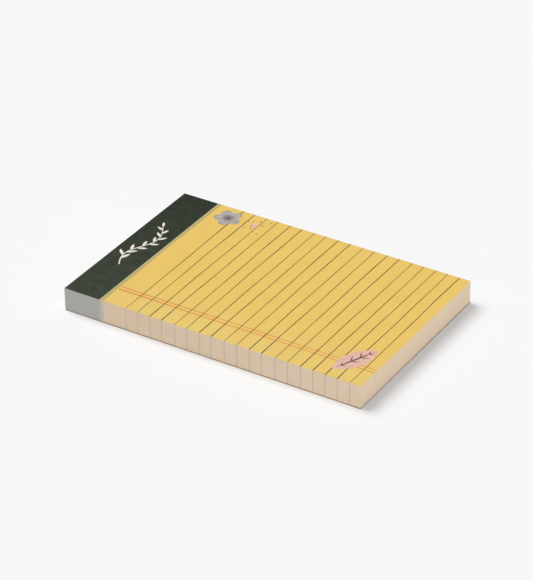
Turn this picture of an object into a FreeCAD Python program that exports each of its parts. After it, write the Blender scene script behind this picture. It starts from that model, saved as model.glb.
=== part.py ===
# A ruled legal pad in half-letter size: a glued stack of printed sheets on a chipboard back.
# The pad lies flat, with its bound head towards +Y and its print facing +Z. The origin is under
# the middle of the pad, on the surface that it rests on. Lengths are in millimetres.

import FreeCAD, Part
import math
import os

import Sketcher

SIZES = {
    "page_width": 139.7,
    "page_length": 215.9,
    "sheet_thickness": 0.104,
    "sheet_count": 150,
    "seam_depth": 0.02,
    "sheet_stagger": 0.03,
    "board_thickness": 0.7,
    "glue_thickness": 0.3,
    "glue_radius": 0.2,
    "ink_thickness": 0.05,
    "header_depth": 26.6,
    "edging_depth": 2.6,
    "edging_wander": 0.35,
    "top_space": 17.2,
    "rule_pitch": 9.1,
    "pair_closeness": 0.4,
    "foot_pitch": 8.55,
    "foot_clearance": 6.0,
    "rule_thin": 0.34,
    "rule_thick": 0.66,
    "rule_wander": 0.3,
    "margin_inset": 17.0,
    "margin_gap": 3.1,
    "margin_stroke": 0.78,
    "margin_foot_stroke": 0.6,
    "margin_wander": 0.16,
    "margin_start": 0.5,
    "sprig_length": 56.0,
    "sprig_rise": 4.5,
    "sprig_stroke": 0.9,
    "sprig_leaf_length": 8.4,
    "sprig_leaf_width": 2.3,
    "blossom_side": 12.6,
    "blossom_drop": 13.0,
    "petal_reach": 5.9,
    "petal_radius": 3.7,
    "heart_radius": 2.6,
    "eye_radius": 1.2,
    "stamen_gap": 0.4,
    "stamen_length": 3.0,
    "stamen_width": 0.62,
    "seed_length": 1.7,
    "seed_width": 0.7,
    "seed_fall": 28.0,
    "seed_spread": 9.0,
    "fallen_petal_length": 6.4,
    "fallen_petal_width": 4.4,
    "fallen_petal_drop": 20.0,
    "leaf_length": 35.0,
    "leaf_width": 14.6,
    "leaf_side": 23.5,
    "leaf_foot": 17.4,
    "leaf_tilt": -24.0,
    "vein_stroke": 1.3,
}

CLOSE_RULES = 3
RULE_KINDS = 4
RULE_POINTS = 15
SLOW_WAVES = 0.9
SLOW_SHIFT = 0.23
QUICK_WAVES = 2.3
QUICK_SHIFT = 0.41
QUICK_SHARE = 0.35
PEN_PRESSES = 3.0
PEN_PRESS_SHARE = 0.4
PEN_PRESS_SHIFT = 0.17
MARGIN_POINTS = 13
RIGHT_MARGIN_SLIMMING = 0.12
EDGING_POINTS = 12
STEM_POINTS = 9
SPRIG_LEAVES = 13
SPRIG_LEAF_ANGLE = math.radians(38)
SPRIG_WAVES = 1.1
STEM_TAPER = 0.5
SPRIG_LEAF_SHORTENING = 0.35
SPRIG_LEAF_NARROWING = 0.25
FIRST_LEAF_SHARE = 0.12
LAST_LEAF_SHARE = 0.96
PETALS = 5
STAMENS = 10
SEEDS = 12
FIRST_SEED_DRIFT = 0.5
VEIN_PAIRS = 4
VEIN_ANGLE = math.radians(42)
VEIN_REACH = 0.68
VEIN_SLIMMING = 0.75
VEINED_LENGTH = 0.8
MIDRIB_LENGTH = 0.86
BELLY_SHARE = 0.35
FALLEN_PETAL_TILT = 35.0
FIRST_PETAL_TURN = 20.0
GOLDEN_ANGLE = math.radians(137.508)
GLUE_ROUND_LIMIT = 0.8

TOP = "(sizes.board_thickness + floor(sizes.sheet_count) * sizes.sheet_thickness)"
HEAD = "((sizes.page_length - sizes.glue_thickness) / 2)"
PRINT_WIDTH = "(sizes.page_width - 2 * sizes.seam_depth)"
UPPER_INK = f"{TOP} + sizes.ink_thickness"
BLOSSOM_ACROSS = "sizes.page_width / 2 - sizes.blossom_side"
BLOSSOM_ALONG = f"{HEAD} - sizes.header_depth - sizes.edging_depth - sizes.blossom_drop"


def make_sheet(doc):
    """Put the driving dimensions in a spreadsheet, one aliased cell each."""
    sheet = doc.addObject("Spreadsheet::Sheet", "sizes")
    for row, (alias, size) in enumerate(SIZES.items(), start=1):
        sheet.set(f"A{row}", alias)
        sheet.set(f"B{row}", str(size))
        sheet.setAlias(f"B{row}", alias)
    doc.recompute()
    return sheet


class Layout:
    """The driving dimensions as the spreadsheet gives them, and the places that follow from them."""

    def __init__(self, sheet):
        for alias in SIZES:
            setattr(self, alias, float(sheet.get(alias)))
        self.sheet_count = math.floor(self.sheet_count)
        self.head = (self.page_length - self.glue_thickness) / 2
        self.foot = -(self.page_length + self.glue_thickness) / 2
        self.page_top = self.board_thickness + self.sheet_count * self.sheet_thickness
        self.upper_ink = self.page_top + self.ink_thickness
        self.print_half = self.page_width / 2 - self.seam_depth
        self.edging_foot = self.header_depth + self.edging_depth

    def place(self, from_left, from_head):
        """A place on the page, measured from its left edge and down from its head."""
        return FreeCAD.Vector(from_left - self.page_width / 2, self.head - from_head, self.upper_ink)

    def blossom_middle(self):
        """The middle of the flower at the upper right."""
        return self.place(self.page_width - self.blossom_side, self.edging_foot + self.blossom_drop)

    def leaf_middle(self):
        """The middle of the leaf at the lower left."""
        return self.place(self.leaf_side, self.page_length - self.leaf_foot)

    def rule_drops(self):
        """How far below the head each rule lies: in loose pairs, with the last ones closer."""
        first = self.edging_foot + self.top_space
        closer = self.rule_pitch - self.foot_pitch
        room = self.page_length - self.foot_clearance - first + CLOSE_RULES * closer
        paired = 1 + int(room / self.rule_pitch) - CLOSE_RULES
        drops = []
        for index in range(paired):
            drops.append(first + index * self.rule_pitch - (index % 2) * self.pair_closeness)
        for _ in range(CLOSE_RULES):
            drops.append(drops[-1] + self.foot_pitch)
        return drops


def origin_plane(body):
    """The body's own level plane."""
    return next(f for f in body.Origin.OriginFeatures if f.Role == "XY_Plane")


def flat_sketch(body, name, height):
    """A sketch in the body, level with the page, at a height bound to the sizes."""
    sketch = body.newObject("Sketcher::SketchObject", name)
    sketch.AttachmentSupport = [(origin_plane(body), "")]
    sketch.MapMode = "FlatFace"
    sketch.setExpression("AttachmentOffset.Base.z", height)
    return sketch


def value(sketch, expression):
    """What an expression on the sizes comes to now."""
    return float(sketch.evalExpression(expression))


def dimension(sketch, name, expression, kind, *where):
    """Add a dimension to a sketch and bind its value to the sizes."""
    index = sketch.addConstraint(Sketcher.Constraint(kind, *where, value(sketch, expression)))
    sketch.renameConstraint(index, name)
    sketch.setExpression(f"Constraints.{name}", expression)


def padded(body, sketch, thickness):
    """Thicken a sketch upwards into the body's solid."""
    pad = body.newObject("PartDesign::Pad", sketch.Name + "_pad")
    pad.Profile = sketch
    pad.setExpression("Length", thickness)
    sketch.Visibility = False
    return pad


def slab(doc, label, width, far, depth, bottom, thickness):
    """A level rectangular slab, centred across the page, from its far edge back towards the foot."""
    body = doc.addObject("PartDesign::Body", label)
    sketch = flat_sketch(body, label + "_outline", bottom)
    half, high = value(sketch, width) / 2, value(sketch, far)
    low = high - value(sketch, depth)
    corners = ((-half, high), (-half, low), (half, low), (half, high))
    points = [FreeCAD.Vector(x, y, 0) for x, y in corners]
    for start, end in zip(points, points[1:] + points[:1]):
        sketch.addGeometry(Part.LineSegment(start, end), False)
    for line in range(4):
        sketch.addConstraint(Sketcher.Constraint("Coincident", line, 2, (line + 1) % 4, 1))
    for line in (0, 2):
        sketch.addConstraint(Sketcher.Constraint("Vertical", line))
    sketch.addConstraint(Sketcher.Constraint("Horizontal", 1))
    sketch.addConstraint(Sketcher.Constraint("Symmetric", 0, 1, 2, 2, -2))
    dimension(sketch, "width", width, "DistanceX", 0, 1, 2, 2)
    dimension(sketch, "far", far, "DistanceY", -1, 1, 0, 1)
    dimension(sketch, "depth", depth, "DistanceY", 0, 2, 0, 1)
    padded(body, sketch, thickness)
    return body


def backing_board(doc):
    """The chipboard back: a plain card the size of the page."""
    width, depth, thickness = "sizes.page_width", "sizes.page_length", "sizes.board_thickness"
    return slab(doc, "backing_board", width, HEAD, depth, "0", thickness)


def padding_adhesive(doc, layout):
    """The film of padding glue, brushed over the head of the sheets and of the board."""
    far = "((sizes.page_length + sizes.glue_thickness) / 2)"
    body = slab(doc, "padding_adhesive", "sizes.page_width", far, "sizes.glue_thickness", "0", TOP)
    doc.recompute()
    pad = body.Tip
    outer = layout.head + layout.glue_thickness
    rim = []
    for number, edge in enumerate(pad.Shape.Edges, start=1):
        box = edge.BoundBox
        if box.YMin > outer - layout.glue_thickness / 2:
            rim.append(f"Edge{number}")
    fillet = body.newObject("PartDesign::Fillet", "brushed_rim")
    fillet.Base = (pad, rim)
    limit = f"sizes.glue_thickness * {GLUE_ROUND_LIMIT}"
    fillet.setExpression("Radius", f"min(sizes.glue_radius; {limit})")
    body.Tip = fillet
    return body


def page_block(doc, layout):
    """The stack of sheets as one solid, with a seam between every two sheets on its open sides.

    Each sheet's edge is crowned, and the sheets stand in or out by a hair, as in a trimmed stack.
    At the head they all end in one flat face, where the glue holds them.
    """

    def outline(inset, height):
        across, foot = layout.page_width / 2 - inset, layout.foot + inset
        corners = [(-across, layout.head), (-across, foot), (across, foot), (across, layout.head)]
        return [FreeCAD.Vector(x, y, height) for x, y in corners]

    below_top = range(layout.sheet_count - 1)
    staggers = [layout.sheet_stagger * (0.5 + 0.5 * math.sin(s * GOLDEN_ANGLE)) for s in below_top]
    staggers.append(0.0)
    outlines = [outline(layout.seam_depth + staggers[0], layout.board_thickness)]
    for sheet, (stagger, above) in enumerate(zip(staggers, staggers[1:] + [0.0])):
        low = layout.board_thickness + sheet * layout.sheet_thickness
        outlines.append(outline(stagger, low + layout.sheet_thickness / 2))
        seam = layout.seam_depth + max(stagger, above)
        outlines.append(outline(seam, low + layout.sheet_thickness))

    def flat(corners):
        return Part.Face(Part.makePolygon(corners + corners[:1]))

    faces = [flat(outlines[0]), flat(outlines[-1])]
    for lower, upper in zip(outlines, outlines[1:]):
        for side in range(3):
            faces.append(flat([lower[side], lower[side + 1], upper[side + 1], upper[side]]))
    left_side = [corners[0] for corners in outlines]
    right_side = [corners[3] for corners in outlines]
    faces.append(flat(left_side + right_side[::-1]))
    shell = Part.makeShell(faces)
    shell.sewShape()
    return feature(doc, "page_block", Part.makeSolid(shell))


def feature(doc, label, shape):
    """A document object that holds a computed shape."""
    made = doc.addObject("Part::Feature", label)
    made.Shape = shape
    made.Placement = FreeCAD.Placement()
    return made


def wave(share, kind):
    """The drift of a hand-drawn line, from -1 to 1, at a share of the way along it."""
    slow = math.sin(2 * math.pi * (SLOW_WAVES * share + SLOW_SHIFT * kind))
    quick = math.sin(2 * math.pi * (QUICK_WAVES * share + QUICK_SHIFT * kind))
    return (1 - QUICK_SHARE) * slow + QUICK_SHARE * quick


def pen_weight(share, kind):
    """How hard the pen presses, from 0 to 1: more towards one end of the rule, and in slow swells."""
    trend = share if kind < RULE_KINDS / 2 else 1 - share
    swell = 0.5 + 0.5 * math.cos(2 * math.pi * (PEN_PRESSES * (share - 0.5) + PEN_PRESS_SHIFT * kind))
    return (1 - PEN_PRESS_SHARE) * trend + PEN_PRESS_SHARE * swell


def spline(points):
    """One smooth edge through the points."""
    curve = Part.BSplineCurve()
    curve.interpolate(points)
    return curve.toShape()


def ribbon(points, halves, sides, thickness):
    """A flat stroke of ink along the points, with its half width and side direction at each."""
    upper = [p + side * half for p, side, half in zip(points, sides, halves)]
    lower = [p - side * half for p, side, half in zip(points, sides, halves)]
    ends = [Part.makeLine(lower[0], upper[0]), Part.makeLine(upper[-1], lower[-1])]
    wire = Part.Wire([ends[0], spline(upper), ends[1], spline(lower)])
    return Part.Face(wire).extrude(FreeCAD.Vector(0, 0, thickness))


def lens(middle, length, width, angle, thickness):
    """A pointed oval of ink: two arcs that meet at its ends."""
    along = FreeCAD.Vector(math.cos(angle), math.sin(angle), 0) * (length / 2)
    side = FreeCAD.Vector(-math.sin(angle), math.cos(angle), 0) * (width / 2)
    arcs = [
        Part.Arc(middle - along, middle + side, middle + along).toShape(),
        Part.Arc(middle + along, middle - side, middle - along).toShape(),
    ]
    return Part.Face(Part.Wire(arcs)).extrude(FreeCAD.Vector(0, 0, thickness))


def spike(root, length, width, angle, thickness):
    """A straight stroke of ink, widest near its root and pointed at both ends."""
    along = FreeCAD.Vector(math.cos(angle), math.sin(angle), 0)
    side = FreeCAD.Vector(-along.y, along.x, 0) * (width / 2)
    belly = root + along * (length * BELLY_SHARE)
    corners = [root, belly - side, root + along * length, belly + side, root]
    return Part.Face(Part.makePolygon(corners)).extrude(FreeCAD.Vector(0, 0, thickness))


def edging_print(doc, layout):
    """The narrow strip under the header band: its upper edge straight, its lower one drawn freehand."""
    width = 2 * layout.print_half
    upper = [layout.place(layout.seam_depth + width * end, layout.header_depth) for end in (0, 1)]
    lower = []
    for point in range(EDGING_POINTS):
        share = point / (EDGING_POINTS - 1)
        drop = layout.edging_foot + layout.edging_wander * wave(share, 1)
        lower.append(layout.place(layout.seam_depth + width * share, drop))
    edges = [
        Part.makeLine(upper[1], upper[0]),
        Part.makeLine(upper[0], lower[0]),
        spline(lower),
        Part.makeLine(lower[-1], upper[1]),
    ]
    face = Part.Face(Part.Wire(edges))
    return feature(doc, "edging_print", face.extrude(FreeCAD.Vector(0, 0, layout.ink_thickness)))


def rule_strokes(doc, layout):
    """All the writing rules, from edge to edge, each drawn freehand with a changing stroke."""
    strokes = []
    drops = layout.rule_drops()
    up = FreeCAD.Vector(0, 1, 0)
    for index, drop in enumerate(drops):
        turned = 2 if index >= len(drops) - CLOSE_RULES else 0
        kind = (index + turned) % RULE_KINDS
        points, halves = [], []
        for point in range(RULE_POINTS):
            share = point / (RULE_POINTS - 1)
            from_left = layout.seam_depth + 2 * layout.print_half * share
            points.append(layout.place(from_left, drop + layout.rule_wander * wave(share, kind)))
            more = (layout.rule_thick - layout.rule_thin) * pen_weight(share, kind)
            halves.append((layout.rule_thin + more) / 2)
        strokes.append(ribbon(points, halves, [up] * RULE_POINTS, layout.ink_thickness))
    return feature(doc, "rule_strokes", Part.makeCompound(strokes))


def margin_strokes(doc, layout):
    """The double margin line, from under the header's edging to the foot, where it is lighter."""
    start = layout.edging_foot + layout.edging_wander + layout.margin_start
    end = layout.page_length - layout.seam_depth
    across = FreeCAD.Vector(1, 0, 0)
    strokes = []
    for line in range(2):
        points, halves = [], []
        for point in range(MARGIN_POINTS):
            share = point / (MARGIN_POINTS - 1)
            from_left = layout.margin_inset + line * layout.margin_gap
            from_left += layout.margin_wander * wave(share, 2 + line)
            points.append(layout.place(from_left, start + (end - start) * share))
            less = (layout.margin_stroke - layout.margin_foot_stroke) * share
            halves.append((layout.margin_stroke - less) * (1 - RIGHT_MARGIN_SLIMMING * line) / 2)
        strokes.append(ribbon(points, halves, [across] * MARGIN_POINTS, layout.ink_thickness))
    return feature(doc, "margin_strokes", Part.makeCompound(strokes))


def blossom_field(doc, layout):
    """A five-petalled flower: a round heart and one petal repeated about it."""
    body = doc.addObject("PartDesign::Body", "blossom_field")
    heart = flat_sketch(body, "heart", UPPER_INK)
    round_heart = Part.Circle(FreeCAD.Vector(), FreeCAD.Vector(0, 0, 1), layout.heart_radius)
    heart.addGeometry(round_heart, False)
    heart.addConstraint(Sketcher.Constraint("Coincident", 0, 3, -1, 1))
    dimension(heart, "heart_radius", "sizes.heart_radius", "Radius", 0)
    petal = flat_sketch(body, "petal", UPPER_INK)
    root = FreeCAD.Vector()
    radius, reach = layout.petal_radius, layout.petal_reach
    lean = math.asin(radius / reach)
    flank = math.sqrt(reach**2 - radius**2)
    start = FreeCAD.Vector(math.sin(lean), math.cos(lean), 0) * flank
    end = FreeCAD.Vector(-start.x, start.y, 0)
    round_end = Part.Circle(FreeCAD.Vector(0, reach, 0), FreeCAD.Vector(0, 0, 1), radius)
    petal.addGeometry(Part.LineSegment(root, start), False)
    petal.addGeometry(Part.ArcOfCircle(round_end, -lean, math.pi + lean), False)
    petal.addGeometry(Part.LineSegment(end, root), False)
    petal.addConstraint(Sketcher.Constraint("Coincident", 0, 1, -1, 1))
    petal.addConstraint(Sketcher.Constraint("Coincident", 2, 2, -1, 1))
    petal.addConstraint(Sketcher.Constraint("Tangent", 0, 2, 1, 1))
    petal.addConstraint(Sketcher.Constraint("Tangent", 1, 2, 2, 1))
    petal.addConstraint(Sketcher.Constraint("PointOnObject", 1, 3, -2))
    dimension(petal, "round_end", "sizes.petal_radius", "Radius", 1)
    dimension(petal, "reach", "sizes.petal_reach", "DistanceY", -1, 1, 1, 3)
    for sketch in (heart, petal):
        turn = FreeCAD.Rotation(FreeCAD.Vector(0, 0, 1), FIRST_PETAL_TURN)
        sketch.AttachmentOffset = FreeCAD.Placement(FreeCAD.Vector(), turn)
        sketch.setExpression("AttachmentOffset.Base.x", BLOSSOM_ACROSS)
        sketch.setExpression("AttachmentOffset.Base.y", BLOSSOM_ALONG)
    doc.recompute()
    padded(body, heart, "sizes.ink_thickness")
    first = padded(body, petal, "sizes.ink_thickness")
    ring = body.newObject("PartDesign::PolarPattern", "petals")
    ring.Originals = [first]
    ring.Axis = (petal, ["N_Axis"])
    ring.Angle = 360
    ring.Occurrences = PETALS
    body.Tip = ring
    return body


def oval_field(doc, label, length, width, across, along, tilt):
    """A pointed oval in a body of its own: two equal arcs on a sketch that is turned in its plane."""
    body = doc.addObject("PartDesign::Body", label)
    sketch = flat_sketch(body, label + "_outline", UPPER_INK)
    centre = f"({length} ^ 2 - {width} ^ 2) / (4 * {width})"
    half, offset = value(sketch, length) / 2, value(sketch, centre)
    bow, turn = math.hypot(half, offset), math.atan2(offset, half)
    for below, start in ((-offset, turn), (offset, math.pi + turn)):
        circle = Part.Circle(FreeCAD.Vector(0, below, 0), FreeCAD.Vector(0, 0, 1), bow)
        sketch.addGeometry(Part.ArcOfCircle(circle, start, start + math.pi - 2 * turn), False)
    sketch.addConstraint(Sketcher.Constraint("Coincident", 0, 2, 1, 1))
    sketch.addConstraint(Sketcher.Constraint("Coincident", 1, 2, 0, 1))
    sketch.addConstraint(Sketcher.Constraint("PointOnObject", 0, 1, -1))
    sketch.addConstraint(Sketcher.Constraint("Symmetric", 0, 1, 0, 2, -2))
    sketch.addConstraint(Sketcher.Constraint("Equal", 0, 1))
    dimension(sketch, "length", length, "DistanceX", 0, 2, 0, 1)
    dimension(sketch, "centre", centre, "DistanceY", 0, 3, -1, 1)
    sketch.setExpression("AttachmentOffset.Base.x", across)
    sketch.setExpression("AttachmentOffset.Base.y", along)
    sketch.setExpression("AttachmentOffset.Rotation.Angle", tilt)
    padded(body, sketch, "sizes.ink_thickness")
    return body


def leaf_field(doc):
    """The leaf at the lower left of the page."""
    across = "sizes.leaf_side - sizes.page_width / 2"
    along = f"{HEAD} - sizes.page_length + sizes.leaf_foot"
    return oval_field(
        doc,
        "leaf_field",
        "sizes.leaf_length",
        "sizes.leaf_width",
        across,
        along,
        "sizes.leaf_tilt * 1 deg",
    )


def fallen_petal(doc):
    """One loose petal, below the flower."""
    return oval_field(
        doc,
        "fallen_petal",
        "sizes.fallen_petal_length",
        "sizes.fallen_petal_width",
        BLOSSOM_ACROSS,
        f"{BLOSSOM_ALONG} - sizes.fallen_petal_drop",
        f"{FALLEN_PETAL_TILT} * 1 deg",
    )


def leaf_veins(layout):
    """The leaf's midrib and its side veins, which stop short of the outline."""
    middle = layout.leaf_middle()
    angle = math.radians(layout.leaf_tilt)
    along = FreeCAD.Vector(math.cos(angle), math.sin(angle), 0)
    midrib = layout.leaf_length * MIDRIB_LENGTH
    veins = [lens(middle, midrib, layout.vein_stroke, angle, layout.ink_thickness)]
    for pair in range(VEIN_PAIRS):
        share = (pair + 0.5) / VEIN_PAIRS - 0.5
        room = layout.leaf_width / 2 * (1 - (2 * share) ** 2)
        length = room / math.sin(VEIN_ANGLE) * VEIN_REACH
        start = middle + along * (share * layout.leaf_length * VEINED_LENGTH)
        slim = layout.vein_stroke * VEIN_SLIMMING
        for side in (-1, 1):
            turn = angle + side * VEIN_ANGLE
            veins.append(spike(start, length, slim, turn, layout.ink_thickness))
    return veins


def flower_marks(layout):
    """The flower's eye and the ring of stamens about it."""
    middle = layout.blossom_middle()
    marks = [Part.makeCylinder(layout.eye_radius, layout.ink_thickness, middle)]
    for stamen in range(STAMENS):
        angle = 2 * math.pi * stamen / STAMENS
        out = layout.eye_radius + layout.stamen_gap
        root = middle + FreeCAD.Vector(math.cos(angle), math.sin(angle), 0) * out
        width = layout.stamen_width
        marks.append(spike(root, layout.stamen_length, width, angle, layout.ink_thickness))
    return marks


def seeds(layout):
    """Seeds that drift down the page from the flower, in a widening trail."""
    middle = layout.blossom_middle()
    marks = []
    for seed in range(SEEDS):
        share = (seed + 1) / SEEDS
        start = layout.petal_reach + layout.petal_radius + layout.seed_length
        drop = start + (layout.seed_fall - start) * share
        widening = FIRST_SEED_DRIFT + (1 - FIRST_SEED_DRIFT) * share
        drift = layout.seed_spread * widening * math.sin(seed * GOLDEN_ANGLE)
        spot = middle + FreeCAD.Vector(drift, -drop, 0)
        turn = seed * GOLDEN_ANGLE
        marks.append(lens(spot, layout.seed_length, layout.seed_width, turn, layout.ink_thickness))
    return marks


def fused(shapes):
    """The shapes as one, with the seams between them gone."""
    return shapes[0].multiFuse(shapes[1:]).removeSplitter()


def detail_print(doc, layout):
    """The darkest ink of the motifs: veins, the flower's eye, stamens and seeds."""
    parts = [fused(leaf_veins(layout)), *flower_marks(layout), *seeds(layout)]
    return feature(doc, "detail_print", Part.makeCompound(parts))


def sprig_print(doc, layout):
    """A leafy sprig in the header: one bent stem with leaves on both sides and one at its tip."""
    middle = layout.place(layout.page_width / 2, layout.header_depth / 2)

    def stem(share):
        along = (share - 0.5) * layout.sprig_length
        rise = layout.sprig_rise * math.sin(2 * math.pi * SPRIG_WAVES * share)
        return middle + FreeCAD.Vector(along, rise, 0)

    def heading(share):
        turns = 2 * math.pi * SPRIG_WAVES
        return math.atan2(layout.sprig_rise * turns * math.cos(turns * share), layout.sprig_length)

    shares = [point / (STEM_POINTS - 1) for point in range(STEM_POINTS)]
    sides = [FreeCAD.Vector(-math.sin(heading(s)), math.cos(heading(s)), 0) for s in shares]
    halves = [layout.sprig_stroke / 2 * (1 - STEM_TAPER * share) for share in shares]
    strokes = [ribbon([stem(s) for s in shares], halves, sides, layout.ink_thickness)]
    for leaf in range(SPRIG_LEAVES):
        last = leaf == SPRIG_LEAVES - 1
        share = FIRST_LEAF_SHARE + (LAST_LEAF_SHARE - FIRST_LEAF_SHARE) * leaf / (SPRIG_LEAVES - 1)
        side = 1 if leaf % 2 else -1
        angle = heading(share) + (0 if last else side * SPRIG_LEAF_ANGLE)
        length = layout.sprig_leaf_length * (1 - SPRIG_LEAF_SHORTENING * share)
        width = layout.sprig_leaf_width * (1 - SPRIG_LEAF_NARROWING * share)
        reach = FreeCAD.Vector(math.cos(angle), math.sin(angle), 0) * (length / 2)
        strokes.append(lens(stem(share) + reach, length, width, angle, layout.ink_thickness))
    return feature(doc, "sprig_print", fused(strokes))


def without(doc, label, base, tool):
    """One ink's field, less the inks that are printed in its place."""
    cut = doc.addObject("Part::Cut", label)
    cut.Base = base
    cut.Tool = tool
    cut.Refine = True
    return cut


def together(doc, label, members):
    """Several ink fields as one object, to be cut or to cut with."""
    group = doc.addObject("Part::Compound", label)
    group.Links = members
    return group


def check(doc, parts):
    """Stop if any object of the document failed, or if a sub-part has no good solid."""
    for made in doc.Objects:
        if {"Invalid", "Error"} & set(made.State):
            raise RuntimeError(f"{made.Label} failed: {made.State}")
    for part in parts:
        shape = part.Shape
        if shape.isNull() or not shape.isValid() or not shape.Solids:
            raise RuntimeError(f"{part.Label} has no valid solid")


def build():
    """Make the document and return its sub-parts."""
    doc = FreeCAD.newDocument("legal_pad")
    layout = Layout(make_sheet(doc))
    start, ink = f"{HEAD} - sizes.header_depth", "sizes.ink_thickness"
    depth = "sizes.page_length - sizes.header_depth - sizes.seam_depth"
    yellow = slab(doc, "yellow_print", PRINT_WIDTH, start, depth, TOP, ink)
    header = slab(doc, "header_print", PRINT_WIDTH, HEAD, "sizes.header_depth", TOP, ink)
    rules = rule_strokes(doc, layout)
    margins = margin_strokes(doc, layout)
    details = detail_print(doc, layout)
    blossom = blossom_field(doc, layout)
    pink = together(doc, "pink_fields", [leaf_field(doc), fallen_petal(doc)])
    over_rules = together(doc, "fields_over_rules", [blossom, pink, details])
    over_margins = together(doc, "fields_over_margins", [blossom, pink, details, rules])
    parts = [
        page_block(doc, layout),
        backing_board(doc),
        padding_adhesive(doc, layout),
        yellow,
        header,
        edging_print(doc, layout),
        without(doc, "rule_print", rules, over_rules),
        without(doc, "margin_print", margins, over_margins),
        sprig_print(doc, layout),
        without(doc, "blossom_print", blossom, details),
        without(doc, "leaf_print", pink, details),
        details,
    ]
    doc.recompute()
    check(doc, parts)
    return parts


os.makedirs("parts", exist_ok=True)
for part in build():
    part.Shape.exportStep(f"parts/{part.Label}.step")
    print(part.Label, len(part.Shape.Solids), "solids", round(part.Shape.Volume, 3), "mm3")
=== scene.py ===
"""A ruled legal pad: its stack of sheets, its print, its board and its glue, on a pale studio floor.

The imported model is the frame. The print, the board and the glue keep their solids and get
materials, and the stack of sheets is made again sheet by sheet. Sizes in the classes are in
millimetres, and the scene is in metres.
"""

import logging
import math
import random
from dataclasses import dataclass, field
from enum import Enum

import bmesh
import bpy
from mathutils import Matrix, Vector

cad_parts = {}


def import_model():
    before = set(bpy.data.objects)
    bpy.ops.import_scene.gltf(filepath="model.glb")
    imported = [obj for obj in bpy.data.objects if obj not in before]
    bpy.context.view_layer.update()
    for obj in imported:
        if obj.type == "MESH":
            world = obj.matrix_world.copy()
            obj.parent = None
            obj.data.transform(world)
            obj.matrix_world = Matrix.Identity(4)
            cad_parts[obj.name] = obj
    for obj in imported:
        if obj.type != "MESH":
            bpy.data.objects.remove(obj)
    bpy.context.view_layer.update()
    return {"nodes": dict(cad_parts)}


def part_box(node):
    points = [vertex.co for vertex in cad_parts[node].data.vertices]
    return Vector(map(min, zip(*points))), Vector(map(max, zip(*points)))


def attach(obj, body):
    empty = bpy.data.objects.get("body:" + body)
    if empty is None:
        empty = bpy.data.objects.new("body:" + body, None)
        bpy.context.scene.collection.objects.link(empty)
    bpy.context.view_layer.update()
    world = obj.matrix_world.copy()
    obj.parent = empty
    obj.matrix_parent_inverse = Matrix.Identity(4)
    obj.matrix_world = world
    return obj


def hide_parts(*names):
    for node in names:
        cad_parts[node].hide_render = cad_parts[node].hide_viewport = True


LOG = logging.getLogger("legal_pad")
MM = 0.001
BODY = "root"

PAGE_WIDTH = 139.7
PAGE_LENGTH = 215.9
GLUE_FILM = 0.3
HEAD = (PAGE_LENGTH - GLUE_FILM) / 2
SHEET = 0.104

FULL_LEVEL = 255
SRGB_KNEE, SRGB_SLOPE, SRGB_OFFSET, SRGB_POWER = 0.04045, 12.92, 0.055, 2.4
MIX_SHARE, MIX_ONE, MIX_OTHER, MIX_RESULT = 0, 6, 7, 2
NOISE_ROUGHNESS = 0.55
ALL_BOUNCES = 1024

HALF = 0.5
ON_EDGE = 0.01
STROKE_END = 0.02
STROKE_GAP = 1.0
ROWS_A_SHEET = 2
QUAD = 4

Colour = tuple[float, float, float]
Value = object


def shade(red: int, green: int, blue: int) -> Colour:
    """A colour as it is read off a screen, made linear.

    Args:
        red: The red level, from 0 to 255.
        green: The green level, from 0 to 255.
        blue: The blue level, from 0 to 255.

    Returns:
        The three linear levels, from 0 to 1.
    """
    levels = (level / FULL_LEVEL for level in (red, green, blue))
    return tuple(
        level / SRGB_SLOPE
        if level <= SRGB_KNEE
        else ((level + SRGB_OFFSET) / (1 + SRGB_OFFSET)) ** SRGB_POWER
        for level in levels
    )


class Wire:
    """One output of a shader node, on which shader maths can be written."""

    def __init__(self, graph: "Graph", socket: bpy.types.NodeSocket) -> None:
        """Keep the graph and the output."""
        self.graph = graph
        self.socket = socket

    def __add__(self, other: Value) -> "Wire":
        """This and the other, added."""
        return self.graph.sum("ADD", self, other)

    def __radd__(self, other: Value) -> "Wire":
        """The other and this, added."""
        return self.graph.sum("ADD", other, self)

    def __sub__(self, other: Value) -> "Wire":
        """This less the other."""
        return self.graph.sum("SUBTRACT", self, other)

    def __rsub__(self, other: Value) -> "Wire":
        """The other less this."""
        return self.graph.sum("SUBTRACT", other, self)

    def __mul__(self, other: Value) -> "Wire":
        """This times the other."""
        return self.graph.sum("MULTIPLY", self, other)

    def __rmul__(self, other: Value) -> "Wire":
        """The other times this."""
        return self.graph.sum("MULTIPLY", other, self)

    def __truediv__(self, other: Value) -> "Wire":
        """This over the other."""
        return self.graph.sum("DIVIDE", self, other)

    def __mod__(self, other: Value) -> "Wire":
        """What is left of this over the other, never below zero."""
        return self.graph.sum("FLOORED_MODULO", self, other)

    def __gt__(self, other: Value) -> "Wire":
        """One where this is above the other, and zero elsewhere."""
        return self.graph.sum("GREATER_THAN", self, other)

    def clamped(self) -> "Wire":
        """This, kept from zero to one."""
        return self.graph.node("ShaderNodeClamp", inputs={"Value": self})

    def centred(self) -> "Wire":
        """A level that lies about a half, moved to lie about zero."""
        return self - HALF

    def past(self, spot: Value, fade: float) -> "Wire":
        """Zero before a spot and one past it.

        Args:
            spot: The middle of the change.
            fade: How wide the change is.

        Returns:
            A level from 0 to 1.
        """
        return ((self - spot) / fade + HALF).clamped()


@dataclass(frozen=True)
class Patches:
    """Soft random patches on a finish.

    sizes are a patch's widths along the three axes, in millimetres. detail says how many finer
    layers are laid over it. shift moves the pattern, so that two of one size differ.
    """

    sizes: tuple[float, float, float]
    detail: float = 3.0
    shift: float = 0.0


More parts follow.
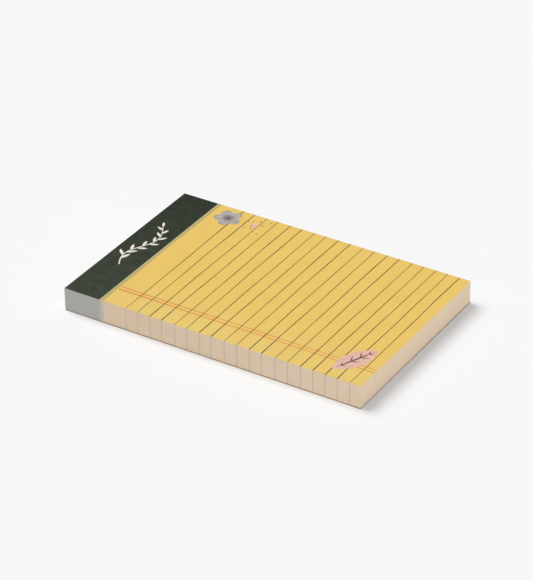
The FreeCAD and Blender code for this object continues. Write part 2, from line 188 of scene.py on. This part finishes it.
class Graph:
    """The nodes of one material or of the world."""

    def __init__(self, tree: bpy.types.NodeTree) -> None:
        """Start on an empty tree."""
        self.tree = tree
        tree.nodes.clear()

    def node(
        self, kind: str, settings: dict | None = None, inputs: dict | None = None, output: int | str = 0
    ) -> Wire:
        """Add a node.

        Args:
            kind: The node's type.
            settings: Its own settings, such as an operation.
            inputs: A value or a wire for each input that is set, by name or number.
            output: Which output the wire is taken from.

        Returns:
            A wire from that output.
        """
        made = self.tree.nodes.new(kind)
        for name, setting in (settings or {}).items():
            setattr(made, name, setting)
        for name, value in (inputs or {}).items():
            socket = made.inputs[name]
            if isinstance(value, Wire):
                self.tree.links.new(value.socket, socket)
            else:
                socket.default_value = value
        return Wire(self, made.outputs[output])

    def sum(self, operation: str, *operands: Value) -> Wire:
        """One step of maths on numbers."""
        settings = {"operation": operation}
        return self.node("ShaderNodeMath", settings, dict(enumerate(operands)))

    def blend(self, share: Value, one: Value, other: Value) -> Wire:
        """A colour between two others.

        Args:
            share: How far from the one colour to the other, from 0 to 1.
            one: The colour at 0.
            other: The colour at 1.

        Returns:
            The mixed colour.
        """
        one, other = (end if isinstance(end, Wire) else (*end, 1.0) for end in (one, other))
        settings = {"data_type": "RGBA", "blend_type": "MIX"}
        inputs = {MIX_SHARE: share, MIX_ONE: one, MIX_OTHER: other}
        return self.node("ShaderNodeMix", settings, inputs, MIX_RESULT)

    def place(self) -> Wire:
        """The point on the surface, in metres in the pad's own frame."""
        return self.node("ShaderNodeTexCoord", output="Object")

    def axes(self) -> tuple[Wire, Wire, Wire]:
        """The point's three coordinates, in millimetres.

        Returns:
            How far it lies across the page, along it and up from the floor.
        """
        split = self.node("ShaderNodeSeparateXYZ", inputs={0: self.place()})
        outputs = split.socket.node.outputs
        return tuple(Wire(self, output) / MM for output in outputs)

    def noise(self, patches: Patches) -> Wire:
        """Soft random patches.

        Args:
            patches: How wide and how fine they are.

        Returns:
            A level about a half, from 0 to 1.
        """
        scale = tuple(1 / (size * MM) for size in patches.sizes)
        placing = {"Vector": self.place(), "Location": (patches.shift,) * 3, "Scale": scale}
        inputs = {
            "Vector": self.node("ShaderNodeMapping", inputs=placing),
            "Scale": 1.0,
            "Detail": patches.detail,
            "Roughness": NOISE_ROUGHNESS,
        }
        return self.node("ShaderNodeTexNoise", {"noise_dimensions": "3D"}, inputs)

    def surface(self, colour: Value, roughness: Wire, height: Wire, depth: float, gloss: float) -> None:
        """Finish the material with an opaque surface.

        Args:
            colour: The base colour.
            roughness: The roughness over the surface.
            height: The relief, from 0 to 1.
            depth: How high that relief stands at 1, in millimetres.
            gloss: The specular level, the same all over.
        """
        inputs = {"Height": height, "Distance": depth * MM, "Strength": 1.0}
        normal = self.node("ShaderNodeBump", inputs=inputs)
        shader = self.node(
            "ShaderNodeBsdfPrincipled",
            inputs={
                "Base Color": colour,
                "Roughness": roughness,
                "Specular IOR Level": gloss,
                "Normal": normal,
            },
        )
        self.send_out(shader)

    def send_out(self, shader: Wire) -> None:
        """Send a shader to the material's output."""
        output = self.tree.nodes.new("ShaderNodeOutputMaterial")
        self.tree.links.new(shader.socket, output.inputs["Surface"])


def new_material(name: str) -> tuple[bpy.types.Material, Graph]:
    """Start a material.

    Args:
        name: Its name.

    Returns:
        The material and its graph, still empty.
    """
    made = bpy.data.materials.new(name)
    made.use_nodes = True
    return made, Graph(made.node_tree)


@dataclass(frozen=True)
class Ink:
    """Matt printed ink: its colour drifts in broad patches and in fine grain, on the paper's tooth."""

    name: str
    pale: Colour
    deep: Colour
    patch: float = 11.0
    patch_detail: float = 4.0
    patch_shift: float = 3.1
    grain: float = 0.7
    grain_detail: float = 2.0
    grain_shift: float = 7.7
    grain_share: float = 0.4
    contrast: float = 1.6
    tooth: float = 0.32
    tooth_height: float = 0.006
    roughness: float = 0.8
    roughness_drift: float = 0.2
    gloss: float = 0.25

    def drift(self, graph: Graph) -> Wire:
        """How deep the ink lies at each point.

        Args:
            graph: The material's nodes.

        Returns:
            A level from 0 to 1.
        """
        broad = graph.noise(Patches((self.patch,) * 3, self.patch_detail, self.patch_shift))
        fine = graph.noise(Patches((self.grain,) * 3, self.grain_detail, self.grain_shift))
        mixed = broad * (1 - self.grain_share) + fine * self.grain_share
        return (mixed.centred() * self.contrast + HALF).clamped()

    def colour(self, graph: Graph) -> Wire:
        """The ink's colour over the surface."""
        return graph.blend(self.drift(graph), self.pale, self.deep)

    def material(self) -> bpy.types.Material:
        """Make the material.

        Returns:
            The finished material.
        """
        made, graph = new_material(self.name)
        tooth = graph.noise(Patches((self.tooth,) * 3))
        roughness = self.roughness + tooth.centred() * self.roughness_drift
        graph.surface(self.colour(graph), roughness, tooth, self.tooth_height, self.gloss)
        return made


@dataclass(frozen=True)
class FieldInk(Ink):
    """The ink of a broad field, which takes another tone towards the left of the page."""

    left_pale: Colour = shade(235, 203, 114)
    left_deep: Colour = shade(227, 193, 104)
    left_share: float = 1.0
    turn: float = 0.0
    fade: float = PAGE_WIDTH

    def colour(self, graph: Graph) -> Wire:
        """The ink's colour over the surface.

        Args:
            graph: The material's nodes.

        Returns:
            The colour.
        """
        across, _, _ = graph.axes()
        drift = self.drift(graph)
        # A tone towards the left of the page: on the header it is a painted reflection.
        left = 1 - across.past(self.turn, self.fade)
        usual = graph.blend(drift, self.pale, self.deep)
        turned = graph.blend(drift, self.left_pale, self.left_deep)
        return graph.blend(left * self.left_share, usual, turned)


@dataclass(frozen=True)
class EdgingInk(Ink):
    """The strip under the header, pale along its upper half and warmer below."""

    warm: Colour = shade(187, 167, 110)
    change: float = 79.9
    fade: float = 0.5
    waves: Patches = Patches((2.6, 0.6, 1.0), detail=2.0, shift=1.3)
    wave_height: float = 0.9

    def colour(self, graph: Graph) -> Wire:
        """The ink's colour over the surface.

        Args:
            graph: The material's nodes.

        Returns:
            The colour.
        """
        _, along, _ = graph.axes()
        ragged = graph.noise(self.waves).centred() * self.wave_height
        below = 1 - (along - ragged).past(self.change, self.fade)
        return graph.blend(below, super().colour(graph), self.warm)


@dataclass(frozen=True)
class BlossomInk(Ink):
    """The flower's grey wash: dark about its heart, with fine lines out along the petals.

    across and along are its middle on the page. heart, rim and their fades are shares of reach.
    """

    line: Colour = shade(104, 100, 98)
    across: float = 57.25
    along: float = 65.6
    reach: float = 9.6
    lines: int = 45
    first_turn: float = 20.0
    wobble: Patches = Patches((2.4, 2.4, 2.4), detail=2.0, shift=6.1)
    wobble_turn: float = 3.0
    line_gap: float = 0.25
    line_fall: float = 0.7
    line_share: float = 0.7
    heart: float = 0.52
    heart_fade: float = 0.4
    heart_share: float = 0.55
    rim: float = 0.8
    rim_fade: float = 0.25
    rim_share: float = 0.5

    def colour(self, graph: Graph) -> Wire:
        """The ink's colour over the surface.

        Args:
            graph: The material's nodes.

        Returns:
            The colour.
        """
        across, along, _ = graph.axes()
        right, up = across - self.across, along - self.along
        out = graph.sum("SQRT", right * right + up * up) / self.reach
        turn = graph.sum("ARCTAN2", up, right) - math.radians(self.first_turn)
        wobble = graph.noise(self.wobble).centred() * self.wobble_turn
        ridges = graph.sum("SINE", turn * self.lines + wobble)
        strokes = (ridges - self.line_gap).clamped() * (1 - out * self.line_fall).clamped()
        heart = ((self.heart - out) / self.heart_fade).clamped()
        rim = ((out - self.rim) / self.rim_fade).clamped()
        shadow = strokes * self.line_share + heart * self.heart_share + rim * self.rim_share
        return graph.blend(shadow.clamped(), super().colour(graph), self.line)


@dataclass(frozen=True)
class MarginInk(Ink):
    """The margin's ink, which is strongest at the head and settles to a paler orange down the page.

    start and settled are drops from the head, and middle lies between the two lines.
    """

    strong: Colour = shade(214, 84, 58)
    start: float = 29.7
    settled: float = 88.0
    left_share: float = 1.0
    right_share: float = 0.62
    middle: float = -50.9

    def colour(self, graph: Graph) -> Wire:
        """The ink's colour over the surface.

        Args:
            graph: The material's nodes.

        Returns:
            The colour.
        """
        across, along, _ = graph.axes()
        drop = HEAD - along
        near_head = ((self.settled - drop) / (self.settled - self.start)).clamped()
        line = self.left_share + (across > self.middle) * (self.right_share - self.left_share)
        return graph.blend(near_head * line, super().colour(graph), self.strong)


@dataclass(frozen=True)
class RuleInk(Ink):
    """The writing rules' ink, thin and brown at one end of each rule and full and dark at the other.

    Two rules in a row have their full ends at one side, and the next two at the other. first and
    turned_below are drops from the head, and below the second the sides change round.
    """

    full: Colour = shade(60, 52, 28)
    first: float = 46.4
    pitch: float = 9.1
    turned_below: float = 187.0

    def colour(self, graph: Graph) -> Wire:
        """The ink's colour over the surface.

        Args:
            graph: The material's nodes.

        Returns:
            The colour.
        """
        across, along, _ = graph.axes()
        drop = HEAD - along
        pair = (drop - self.first + self.pitch / 2) / (2 * self.pitch)
        late = (drop > self.turned_below) * HALF
        full_left = ((pair / 2 + late) % 1.0) > HALF
        share = across / PAGE_WIDTH + HALF
        full = share + full_left * (1 - 2 * share)
        return graph.blend(full.clamped(), super().colour(graph), self.full)


@dataclass(frozen=True)
class SheetEdges:
    """The cut edges of the sheets: cream paper, with the print of every sheet bleeding to the edge.

    header_foot and edging_foot are places along the page, from its middle.
    """

    name: str = "sheet_edges"
    paper: Colour = shade(225, 203, 178)
    shaded: Colour = shade(212, 189, 164)
    # Painted light: the edges' paper grows paler towards the foot, standing in for the light on the foot
    # face.
    painted_light_foot_paper: Colour = shade(232, 212, 186)
    painted_light_foot_shaded: Colour = shade(220, 198, 171)
    under_header: Colour = shade(174, 175, 171)
    under_edging: Colour = shade(196, 187, 174)
    bleed: Colour = shade(193, 184, 174)
    header_foot: float = 81.2
    edging_foot: float = 78.5
    soft_edge: float = 0.35
    rag: Patches = Patches((3.0, 3.0, 0.3), detail=2.0, shift=2.0)
    sheets: Patches = Patches((30.0, 30.0, SHEET), detail=1.0)
    layers: Patches = Patches((60.0, 60.0, 1.1), detail=3.0, shift=5.0)
    blotches: Patches = Patches((9.0, 9.0, 5.0), detail=2.0, shift=9.0)
    sheet_share: float = 0.45
    layer_share: float = 0.35
    blotch_share: float = 0.2
    wear: float = 0.4
    wear_contrast: float = 1.8
    bleed_start: float = 0.12
    bleed_gain: float = 1.3
    bleed_gaps: float = 0.3
    warm_start: float = 0.3
    warm_share: float = 0.35
    roughness: float = 0.86
    roughness_drift: float = 0.15
    relief: float = 0.02
    gloss: float = 0.2

    def material(self) -> bpy.types.Material:
        """Make the material.

        Returns:
            The finished material.
        """
        made, graph = new_material(self.name)
        _, along, _ = graph.axes()
        sheets, layers = graph.noise(self.sheets), graph.noise(self.layers)
        blotches = graph.noise(self.blotches)
        mixed = sheets * self.sheet_share + layers * self.layer_share + blotches * self.blotch_share
        worn = (mixed.centred() * self.wear_contrast + self.wear).clamped()
        # Painted light: down the page the edge colour is blended to the paler foot paper.
        painted_light_towards_foot = ((HEAD - along) / PAGE_LENGTH).clamped()
        colour = graph.blend(
            painted_light_towards_foot,
            graph.blend(worn, self.paper, self.shaded),
            graph.blend(worn, self.painted_light_foot_paper, self.painted_light_foot_shaded),
        )
        carried = {"attribute_type": "GEOMETRY", "attribute_name": "bleed"}
        printed = graph.node("ShaderNodeAttribute", carried, output="Fac")
        lines = ((printed - self.bleed_start) * self.bleed_gain - sheets * self.bleed_gaps).clamped()
        colour = graph.blend(lines, colour, self.bleed)
        ragged = along + graph.noise(self.rag).centred() * self.soft_edge
        colour = graph.blend(ragged.past(self.edging_foot, self.soft_edge), colour, self.under_edging)
        warmer = (layers - self.warm_start).clamped() * self.warm_share
        grey = graph.blend(warmer, self.under_header, self.under_edging)
        colour = graph.blend(ragged.past(self.header_foot, self.soft_edge), colour, grey)
        roughness = self.roughness + blotches.centred() * self.roughness_drift
        graph.surface(colour, roughness, sheets, self.relief, self.gloss)
        return made


@dataclass(frozen=True)
class Chipboard:
    """The grey-brown back: pressed waste paper with fibres and darker flecks."""

    name: str = "chipboard"
    pulp: Colour = shade(171, 140, 110)
    deep: Colour = shade(136, 108, 84)
    fleck: Colour = shade(96, 80, 66)
    clouds: Patches = Patches((6.0, 6.0, 2.0), detail=4.0)
    fibres: Patches = Patches((4.5, 0.35, 0.2), detail=3.0, shift=4.0)
    crossed: Patches = Patches((0.35, 4.5, 0.2), detail=3.0, shift=8.0)
    flecks: Patches = Patches((1.3, 0.8, 0.5), detail=1.0, shift=6.0)
    cloud_share: float = 0.4
    fibre_share: float = 0.3
    contrast: float = 2.2
    fleck_start: float = 0.68
    fleck_gain: float = 8.0
    roughness: float = 0.9
    roughness_drift: float = 0.1
    relief: float = 0.03
    gloss: float = 0.15

    def material(self) -> bpy.types.Material:
        """Make the material.

        Returns:
            The finished material.
        """
        made, graph = new_material(self.name)
        clouds = graph.noise(self.clouds)
        fibres, crossed = graph.noise(self.fibres), graph.noise(self.crossed)
        mixed = clouds * self.cloud_share + fibres * self.fibre_share + crossed * self.fibre_share
        pulp = (mixed.centred() * self.contrast + HALF).clamped()
        colour = graph.blend(pulp, self.pulp, self.deep)
        flecked = ((graph.noise(self.flecks) - self.fleck_start) * self.fleck_gain).clamped()
        colour = graph.blend(flecked, colour, self.fleck)
        relief = fibres * HALF + crossed * HALF
        roughness = self.roughness + clouds.centred() * self.roughness_drift
        graph.surface(colour, roughness, relief, self.relief, self.gloss)
        return made


@dataclass(frozen=True)
class PaddingGlue:
    """Dried padding glue: milky, a little glossy and streaked, with the sheets faint in it."""

    name: str = "padding_glue"
    milky: Colour = shade(222, 218, 206)
    thin: Colour = shade(196, 192, 182)
    streaks: Patches = Patches((34.0, 2.0, 0.9), detail=4.0)
    sheets: Patches = Patches((40.0, 10.0, SHEET * 2), detail=1.0, shift=2.0)
    streak_contrast: float = 2.4
    sheet_contrast: float = 0.6
    thinness: float = 0.45
    streak_relief: float = 0.8
    sheet_relief: float = 0.2
    roughness: float = 0.42
    roughness_drift: float = 0.3
    relief: float = 0.12
    gloss: float = 0.5

    def material(self) -> bpy.types.Material:
        """Make the material.

        Returns:
            The finished material.
        """
        made, graph = new_material(self.name)
        streaks, sheets = graph.noise(self.streaks), graph.noise(self.sheets)
        varied = streaks.centred() * self.streak_contrast + sheets.centred() * self.sheet_contrast
        colour = graph.blend((varied + self.thinness).clamped(), self.milky, self.thin)
        relief = streaks * self.streak_relief + sheets * self.sheet_relief
        roughness = self.roughness + streaks.centred() * self.roughness_drift
        graph.surface(colour, roughness, relief, self.relief, self.gloss)
        return made


class PrintedNode(Enum):
    """The solids of the print, each with its ink."""

    YELLOW = "yellow_print"
    HEADER = "header_print"
    EDGING = "edging_print"
    RULES = "rule_print"
    MARGINS = "margin_print"
    SPRIG = "sprig_print"
    BLOSSOM = "blossom_print"
    LEAF = "leaf_print"
    DETAIL = "detail_print"


@dataclass
class TopSheetPrint:
    """The print on the top sheet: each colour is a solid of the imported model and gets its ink."""

    inks: dict[PrintedNode, Ink] = field(
        default_factory=lambda: {
            PrintedNode.YELLOW: FieldInk(
                "yellow_ink",
                shade(236, 200, 107),
                shade(228, 190, 97),
                turn=-45.0,
                fade=30.0,
                patch=14.0,
                contrast=1.9,
            ),
            PrintedNode.HEADER: FieldInk(
                "header_ink",
                shade(48, 55, 43),
                shade(29, 34, 25),
                # Painted reflection: the header is paler towards the left of the page, and its grain
                # varies more there.
                left_pale=shade(81, 87, 75),
                left_deep=shade(41, 46, 36),
                left_share=0.6,
                patch=6.0,
                grain=0.9,
                grain_share=0.6,
                gloss=0.1,
                contrast=2.6,
            ),
            PrintedNode.EDGING: EdgingInk("edging_ink", shade(196, 186, 136), shade(182, 169, 114)),
            PrintedNode.RULES: RuleInk(
                "rule_ink", shade(108, 88, 42), shade(90, 73, 36), patch=6.0, grain=1.2, contrast=0.6
            ),
            PrintedNode.MARGINS: MarginInk(
                "margin_ink",
                shade(230, 146, 92),
                shade(214, 112, 66),
                patch=4.0,
                grain=0.45,
                contrast=0.8,
            ),
            PrintedNode.SPRIG: Ink(
                "cream_ink", shade(246, 240, 230), shade(214, 206, 192), patch=3.0, grain=0.35
            ),
            PrintedNode.BLOSSOM: BlossomInk(
                "grey_ink", shade(198, 192, 188), shade(158, 151, 149), patch=3.4, contrast=2.0
            ),
            PrintedNode.LEAF: Ink(
                "pink_ink", shade(236, 192, 178), shade(216, 166, 150), patch=5.0, contrast=2.2
            ),
            PrintedNode.DETAIL: Ink(
                "dark_ink", shade(104, 76, 60), shade(66, 50, 42), patch=2.5, grain=0.3
            ),
        }
    )

    def dress(self, nodes: dict[str, bpy.types.Object]) -> None:
        """Give each printed solid its ink.

        Args:
            nodes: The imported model's objects by name.
        """
        for printed, ink in self.inks.items():
            dress(nodes[printed.value], ink.material())
            LOG.info("%s dressed in %s", printed.value, ink.name)


def dress(piece: bpy.types.Object, material: bpy.types.Material) -> None:
    """Put a material in every slot of a piece.

    Args:
        piece: The piece.
        material: Its finish.
    """
    for slot in piece.material_slots:
        slot.material = material


def run_of(edge: Vector) -> Vector:
    """The way along an edge of the page.

    Args:
        edge: The way from the middle of the page to that edge.

    Returns:
        The way along it, towards +X or +Y.
    """
    return Vector((abs(edge.y), abs(edge.x), 0))


def stroke_ends(node: bpy.types.Object, edge: Vector) -> list[float]:
    """Where the strokes of a printed solid run off the page.

    Args:
        node: The printed solid.
        edge: The way from the middle of the page to that edge.

    Returns:
        The middle of each stroke's end along that edge, in metres.
    """
    along = run_of(edge)
    points = [vertex.co for vertex in node.data.vertices]
    reach = max(point.dot(edge) for point in points)
    ends = sorted(point.dot(along) for point in points if reach - point.dot(edge) < STROKE_END * MM)
    groups = [[ends[0]]]
    for end in ends[1:]:
        if end - groups[-1][-1] > STROKE_GAP * MM:
            groups.append([])
        groups[-1].append(end)
    return [(group[0] + group[-1]) / 2 for group in groups]


@dataclass
class SheetStack:
    """The sheets under the print, edge by edge: each one crowned, and in or out of line by a hair."""

    sheets: int = 150
    seam_depth: float = 0.022
    stagger: float = 0.03
    drift: float = 0.014
    waves: tuple[float, float] = (0.6, 2.4)
    rule_bleed: float = 1.0
    margin_bleed: float = 0.55
    line_width: float = 1.8
    column: float = 7.0
    seed: int = 12

    def _ring(self, box: tuple[Vector, Vector], nodes: dict[str, bpy.types.Object]) -> bmesh.types.BMesh:
        """The outline of the lowest sheet, with a point wherever a printed line meets an edge.

        Args:
            box: The lowest and highest corners of the stack.
            nodes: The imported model's objects by name.

        Returns:
            The outline, whose points carry how much print bleeds there.
        """
        low, high = box
        middle, size = (low + high) / 2, high - low
        mesh = bmesh.new()
        at = Matrix.Translation((middle.x, middle.y, low.z)) @ Matrix.Diagonal((size.x, size.y, 1, 1))
        bmesh.ops.create_grid(mesh, x_segments=1, y_segments=1, size=HALF, matrix=at)
        bmesh.ops.delete(mesh, geom=mesh.faces[:], context="FACES_ONLY")
        bleed = mesh.verts.layers.float.new("bleed")
        sides = {
            (-1, 0, 0): (PrintedNode.RULES, self.rule_bleed),
            (1, 0, 0): (PrintedNode.RULES, self.rule_bleed),
            (0, -1, 0): (PrintedNode.MARGINS, self.margin_bleed),
        }
        for way, (printed, strength) in sides.items():
            edge = Vector(way)
            along = run_of(edge)
            lines = stroke_ends(nodes[printed.value], edge)
            start, end = low.dot(along), high.dot(along)
            for line in lines:
                for offset in (-self.line_width / 2, 0.0, self.line_width / 2):
                    for point in self._cut(mesh, edge, line + offset * MM):
                        point[bleed] = 0.0 if offset else strength
            columns = round((end - start) / (self.column * MM))
            for column in range(1, columns):
                spot = start + (end - start) * column / columns
                if min(abs(spot - line) for line in lines) > self.line_width * MM:
                    self._cut(mesh, edge, spot)
        return mesh

    @staticmethod
    def _cut(mesh: bmesh.types.BMesh, edge: Vector, spot: float) -> list[bmesh.types.BMVert]:
        """Add a point to the outline on one edge.

        Args:
            mesh: The outline.
            edge: The way to that edge of the page.
            spot: Where the point goes along it, in metres.

        Returns:
            The point that was added.
        """
        along = run_of(edge)
        reach = max(vertex.co.dot(edge) for vertex in mesh.verts)
        side = [e for e in mesh.edges if all(reach - v.co.dot(edge) < ON_EDGE * MM for v in e.verts)]
        ends = dict.fromkeys(vertex for e in side for vertex in e.verts)
        cut = bmesh.ops.bisect_plane(mesh, geom=[*side, *ends], plane_co=along * spot, plane_no=along)
        return [made for made in cut["geom_cut"] if isinstance(made, bmesh.types.BMVert)]

    def build(self, nodes: dict[str, bpy.types.Object]) -> bpy.types.Object:
        """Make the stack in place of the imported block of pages.

        Args:
            nodes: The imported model's objects by name.

        Returns:
            The finished piece.
        """
        box = tuple(Vector(corner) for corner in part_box("page_block"))
        mesh = self._ring(box, nodes)
        rows = ROWS_A_SHEET * self.sheets
        rise = (box[1].z - box[0].z) / rows
        ring = mesh.edges[:]
        bmesh.ops.contextual_create(mesh, geom=ring)
        for _ in range(rows):
            raised = bmesh.ops.extrude_edge_only(mesh, edges=ring)["geom"]
            points = {made for made in raised if isinstance(made, bmesh.types.BMVert)}
            edges = [made for made in raised if isinstance(made, bmesh.types.BMEdge)]
            bmesh.ops.translate(mesh, verts=list(points), vec=(0, 0, rise))
            ring = [edge for edge in edges if points.issuperset(edge.verts)]
        bmesh.ops.contextual_create(mesh, geom=ring)
        self._stagger(mesh, box, rise)
        bmesh.ops.triangulate(mesh, faces=[face for face in mesh.faces if len(face.verts) > QUAD])
        bmesh.ops.recalc_face_normals(mesh, faces=mesh.faces[:])
        data = bpy.data.meshes.new("sheet_stack")
        mesh.to_mesh(data)
        mesh.free()
        piece = bpy.data.objects.new("sheet_stack", data)
        bpy.context.scene.collection.objects.link(piece)
        data.materials.append(SheetEdges().material())
        return piece

    def _stagger(self, mesh: bmesh.types.BMesh, box: tuple[Vector, Vector], rise: float) -> None:
        """Draw each sheet's edge in by its own hair, and each seam a little further.

        Args:
            mesh: The straight stack.
            box: Its lowest and highest corners.
            rise: The height of one row of points, in metres.
        """
        draws = random.Random(self.seed)
        habits = [
            (draws.random(), draws.random(), draws.uniform(*self.waves)) for _ in range(self.sheets + 1)
        ]
        low, high = box
        length = high.y - low.y
        for point in mesh.verts:
            level = round((point.co.z - low.z) / rise)
            own, phase, waves = habits[min(level // ROWS_A_SHEET, self.sheets - 1)]
            share = (point.co.y - low.y + point.co.x - low.x) / length
            wave = math.sin(2 * math.pi * (waves * share + phase))
            inset = self.stagger * own + self.drift * (1 + wave)
            inset += 0.0 if level % ROWS_A_SHEET else self.seam_depth
            if level == ROWS_A_SHEET * self.sheets:
                inset = self.seam_depth
            if min(point.co.x - low.x, high.x - point.co.x) < ON_EDGE * MM:
                point.co.x -= math.copysign(inset * MM, point.co.x)
            if point.co.y - low.y < ON_EDGE * MM:
                point.co.y += inset * MM


@dataclass
class Lamp:
    """A soft distant lamp.

    azimuth and elevation say where it stands, as a camera's would. level is what it adds to a
    surface that faces it, where 1 shows a colour as it is written.
    """

    name: str
    azimuth: float
    elevation: float
    level: float
    spread: float
    casts_shadow: bool = True
    bounces: int = ALL_BOUNCES
    tint: Colour = (1.0, 1.0, 1.0)

    def build(self) -> None:
        """Add the lamp to the scene."""
        light = bpy.data.lights.new(self.name, "SUN")
        light.energy = self.level * math.pi
        light.color = self.tint
        light.angle = math.radians(self.spread)
        light.use_shadow = self.casts_shadow
        light.cycles.max_bounces = self.bounces
        lamp = bpy.data.objects.new(self.name, light)
        lamp.rotation_euler = towards(self.azimuth, self.elevation).to_track_quat("Z", "Y").to_euler()
        bpy.context.scene.collection.objects.link(lamp)


def towards(azimuth: float, elevation: float) -> Vector:
    """The way from the pad to a camera or lamp.

    Args:
        azimuth: Degrees round from the pad's foot, positive towards its right.
        elevation: Degrees above the floor.

    Returns:
        The direction, one long.
    """
    turn, lift = math.radians(azimuth), math.radians(elevation)
    level = math.cos(lift)
    return Vector((math.sin(turn) * level, -math.cos(turn) * level, math.sin(lift)))


@dataclass
class Studio:
    """The pale floor, the world's light and the lamps."""

    backdrop: Colour = shade(248, 248, 248)
    floor_paint: Colour = shade(248, 248, 248)
    floor_side: float = 12.0
    floor_gap: float = 0.02
    world_level: float = 0.2
    sky: Colour = (1.0, 1.0, 1.0)
    lamps: tuple[Lamp, ...] = (
        Lamp(
            "key_lamp", azimuth=178.0, elevation=59.0, level=0.558, spread=35.0, tint=(0.997, 1.0, 1.005)
        ),
        Lamp(
            "front_fill",
            azimuth=-38.9,
            elevation=23.5,
            level=0.724,
            spread=60.0,
            casts_shadow=False,
            bounces=0,
        ),
        Lamp(
            "side_fill",
            azimuth=100.0,
            elevation=4.0,
            level=0.3,
            spread=30.0,
            casts_shadow=False,
            bounces=0,
        ),
    )

    @staticmethod
    def _seen(graph: Graph) -> Wire:
        """Which rays show the backdrop itself: the camera's, mirrored and passed through.

        Args:
            graph: The world's nodes.

        Returns:
            One for such a ray, and zero for any other.
        """
        path = graph.node("ShaderNodeLightPath").socket.node.outputs
        kinds = [Wire(graph, path[f"Is {kind} Ray"]) for kind in ("Camera", "Glossy", "Transmission")]
        return (kinds[0] + kinds[1] + kinds[2]).clamped()

    def build(self) -> None:
        """Add the floor, the world and the lamps."""
        mesh = bmesh.new()
        at = Matrix.Translation((0, 0, -self.floor_gap * MM))
        bmesh.ops.create_grid(mesh, x_segments=1, y_segments=1, size=self.floor_side / 2, matrix=at)
        data = bpy.data.meshes.new("floor")
        mesh.to_mesh(data)
        mesh.free()
        floor = bpy.data.objects.new("floor", data)
        bpy.context.scene.collection.objects.link(floor)
        data.materials.append(self._floor_paint())
        self._light_world()
        for lamp in self.lamps:
            lamp.build()

    def _floor_paint(self) -> bpy.types.Material:
        """The floor's material: plain matt paint.

        Returns:
            The finished material.
        """
        made, graph = new_material("floor_paint")
        inputs = {"Color": (*self.floor_paint, 1.0)}
        graph.send_out(graph.node("ShaderNodeBsdfDiffuse", inputs=inputs))
        return made

    def _light_world(self) -> None:
        """The world: the backdrop's colour where it is seen, and soft light elsewhere."""
        world = bpy.data.worlds.new("studio")
        bpy.context.scene.world = world
        world.use_nodes = True
        graph = Graph(world.node_tree)
        seen = self._seen(graph)
        colour = graph.blend(seen, self.sky, self.backdrop)
        strength = self.world_level + seen * (1 - self.world_level)
        background = graph.node("ShaderNodeBackground", inputs={"Color": colour, "Strength": strength})
        output = graph.tree.nodes.new("ShaderNodeOutputWorld")
        graph.tree.links.new(background.socket, output.inputs["Surface"])


@dataclass
class Viewpoint:
    """The camera, as fitted to the corners of the pad in the photograph.

    The pad's origin lies right of, below and ahead of the camera's own axis by the three offsets.
    """

    azimuth: float = -58.29
    elevation: float = 31.97
    roll: float = 0.35
    right: float = 0.84
    below: float = 10.38
    ahead: float = 1769.7
    focal_pixels: float = 2782.9
    picture_height: float = 580.0
    sensor: float = 36.0

    def build(self) -> None:
        """Add the camera and make it the scene's own."""
        back = towards(self.azimuth, self.elevation)
        level = Vector((0, 0, 1)).cross(back).normalized()
        down = level.cross(back)
        turn = math.radians(self.roll)
        across = level * math.cos(turn) + down * math.sin(turn)
        drop = down * math.cos(turn) - level * math.sin(turn)
        data = bpy.data.cameras.new("camera")
        data.sensor_width = self.sensor
        data.lens = self.focal_pixels / self.picture_height * self.sensor
        camera = bpy.data.objects.new("camera", data)
        turned = Matrix((across, -drop, back)).transposed().to_4x4()
        spot = (across * -self.right + drop * -self.below + back * self.ahead) * MM
        camera.matrix_world = Matrix.Translation(spot) @ turned
        bpy.context.scene.collection.objects.link(camera)
        bpy.context.scene.camera = camera


def main() -> None:
    """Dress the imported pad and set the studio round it."""
    logging.basicConfig(level=logging.INFO, format="%(name)s: %(message)s")
    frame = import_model()
    nodes = frame["nodes"]
    Viewpoint().build()
    Studio().build()
    stack = SheetStack().build(nodes)
    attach(stack, BODY)
    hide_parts("page_block")
    LOG.info("sheet_stack built with %d faces", len(stack.data.polygons))
    TopSheetPrint().dress(nodes)
    dress(nodes["backing_board"], Chipboard().material())
    dress(nodes["padding_adhesive"], PaddingGlue().material())
    LOG.info("backing_board and padding_adhesive dressed")
    bpy.context.scene.view_settings.view_transform = "Standard"


if __name__ == "__main__":
    main()
